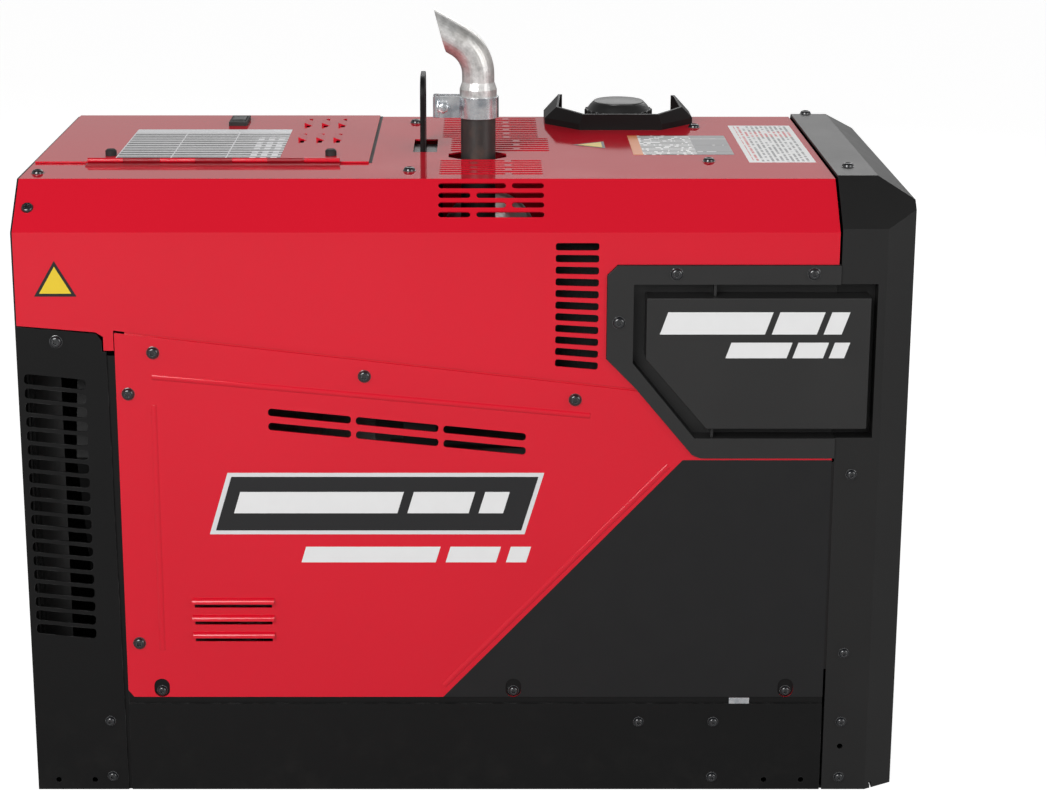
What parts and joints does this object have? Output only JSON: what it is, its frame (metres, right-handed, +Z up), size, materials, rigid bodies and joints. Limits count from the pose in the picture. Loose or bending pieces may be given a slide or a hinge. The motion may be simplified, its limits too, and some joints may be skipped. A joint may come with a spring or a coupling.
{
  "type": "engine driven welder",
  "caption": "Gasoline engine driven welder generator in a boxy sheet-metal enclosure with a lift eye, exhaust elbow, roof hatch, fuel filler and a front control panel.",
  "frame": {"origin": "on the floor under the middle of the machine", "axes": "+X toward the control panel, +Z up, +Y toward the far side with the fuel cap"},
  "size_m": [1.073, 0.562, 0.9463],
  "materials": {
    "red_paint": "gloss",
    "black_powder": "satin powder coat",
    "bezel_plastic": "fine texture",
    "frame_plastic": "fine texture",
    "rubber": "matte",
    "zinc": "bright zinc plate",
    "satin_steel": "satin, heat mottled",
    "dark_iron": "rough",
    "cast_aluminium": "as cast",
    "black_steel": "oxide",
    "dark_gloss": "gloss",
    "tank_plastic": "matte",
    "yellow_plastic": "gloss"
  },
  "bodies": {
    "machine": {"base_frame": "black_powder", "lift_frame": "black_powder", "rear_panel": "black_powder", "roof_panel": "red_paint", "side_panel_near": "red_paint", "side_panel_far": "red_paint", "front_bezel": "bezel_plastic", "control_panel": "black_powder", "name_frame_near": "frame_plastic", "name_frame_far": "frame_plastic", "nameplate_near": "frame_plastic", "nameplate_far": "frame_plastic", "hatch_hinge": "red_paint", "fuel_guard": "black_powder", "door_tabs": "zinc", "roof_screws": "black_steel", "side_screws": "black_steel", "fuel_tank": "tank_plastic", "tank_shelf": "dark_iron", "fuel_neck": "dark_iron", "muffler": "satin_steel", "exhaust_manifold": "dark_iron", "exhaust_pipe": "dark_iron", "exhaust_clamp": "zinc", "exhaust_elbow": "satin_steel", "crankcase": "cast_aluminium", "cylinders": "cast_aluminium", "valve_covers": "black_powder", "intake_manifold": "cast_aluminium", "air_cleaner": "tank_plastic", "blower_housing": "black_powder", "oil_filter": "dark_gloss", "starter_motor": "black_powder", "stator": "dark_iron", "end_bracket": "cast_aluminium", "vibration_mounts": "rubber", "bulkhead": "zinc", "inverter_module": "cast_aluminium", "battery": "tank_plastic", "display": "dark_gloss", "output_studs": "zinc", "receptacles": "dark_gloss"},
    "drive_train": {"crankshaft": "satin_steel", "flywheel_fan": "cast_aluminium", "rotor": "dark_iron"},
    "hatch": {"hatch_lid": "red_paint", "hatch_trim": "rubber"},
    "latch": {"hatch_latch": "frame_plastic"},
    "cap_lift": {"cap_gasket": "rubber"},
    "cap": {"fuel_cap": "rubber"},
    "dipstick": {"dipstick": "yellow_plastic"},
    "output_knob": {"output_knob": "frame_plastic"},
    "arc_knob": {"arc_knob": "frame_plastic"},
    "mode_knob": {"mode_knob": "frame_plastic"},
    "engine_switch": {"engine_switch": "dark_gloss"},
    "stud_cover": {"stud_cover": "bezel_plastic"},
    "key_left": {"key_left": "rubber"},
    "key_right": {"key_right": "rubber"},
    "breaker_left": {"breaker_left": "dark_gloss"},
    "breaker_right": {"breaker_right": "dark_gloss"}
  },
  "joints": [
    {"name": "drive_spin", "type": "hinge", "parent": "machine", "child": "drive_train", "pos_m": [0, 0, 0.33], "axis": [1, 0, 0], "continuous": true},
    {"name": "hatch_hinge", "type": "hinge", "parent": "machine", "child": "hatch", "pos_m": [-0.536, -0.124, 0.7665], "axis": [1, 0, 0], "range_deg": [0, 176]},
    {"name": "latch_lift", "type": "hinge", "parent": "hatch", "child": "latch", "pos_m": [-0.31, 0.1435, 0.7688], "axis": [1, 0, 0], "range_deg": [0, 70], "stiffness_Nm_per_rad": 0.02},
    {"name": "cap_lift", "type": "slide", "parent": "machine", "child": "cap_lift", "axis": [0, 0, 1], "range_m": [0, 0.06]},
    {"name": "cap_turn", "type": "hinge", "parent": "cap_lift", "child": "cap", "pos_m": [0.198, 0.17, 0.77], "axis": [0, 0, 1], "range_deg": [0, 90]},
    {"name": "dipstick_pull", "type": "slide", "parent": "machine", "child": "dipstick", "axis": [0, 0, 1], "range_m": [0, 0.06]},
    {"name": "output_turn", "type": "hinge", "parent": "machine", "child": "output_knob", "pos_m": [0.5, -0.15, 0.64], "axis": [1, 0, 0], "range_deg": [0, 270]},
    {"name": "mode_turn", "type": "hinge", "parent": "machine", "child": "mode_knob", "pos_m": [0.5, 0.15, 0.66], "axis": [1, 0, 0], "range_deg": [0, 240]},
    {"name": "arc_turn", "type": "hinge", "parent": "machine", "child": "arc_knob", "pos_m": [0.5, 0.15, 0.58], "axis": [1, 0, 0], "range_deg": [0, 270]},
    {"name": "engine_switch_turn", "type": "hinge", "parent": "machine", "child": "engine_switch", "pos_m": [0.5, -0.15, 0.56], "axis": [1, 0, 0], "range_deg": [0, 90]},
    {"name": "stud_cover_hinge", "type": "hinge", "parent": "machine", "child": "stud_cover", "pos_m": [0.507, 0, 0.19], "axis": [0, -1, 0], "range_deg": [0, 90]},
    {"name": "key_left_press", "type": "slide", "parent": "machine", "child": "key_left", "axis": [-1, 0, 0], "range_m": [0, 0.002], "stiffness_N_per_m": 300},
    {"name": "key_right_press", "type": "slide", "parent": "machine", "child": "key_right", "axis": [-1, 0, 0], "range_m": [0, 0.002], "stiffness_N_per_m": 300},
    {"name": "breaker_left_press", "type": "slide", "parent": "machine", "child": "breaker_left", "axis": [-1, 0, 0], "range_m": [0, 0.003], "stiffness_N_per_m": 300},
    {"name": "breaker_right_press", "type": "slide", "parent": "machine", "child": "breaker_right", "axis": [-1, 0, 0], "range_m": [0, 0.003], "stiffness_N_per_m": 300}
  ]
}
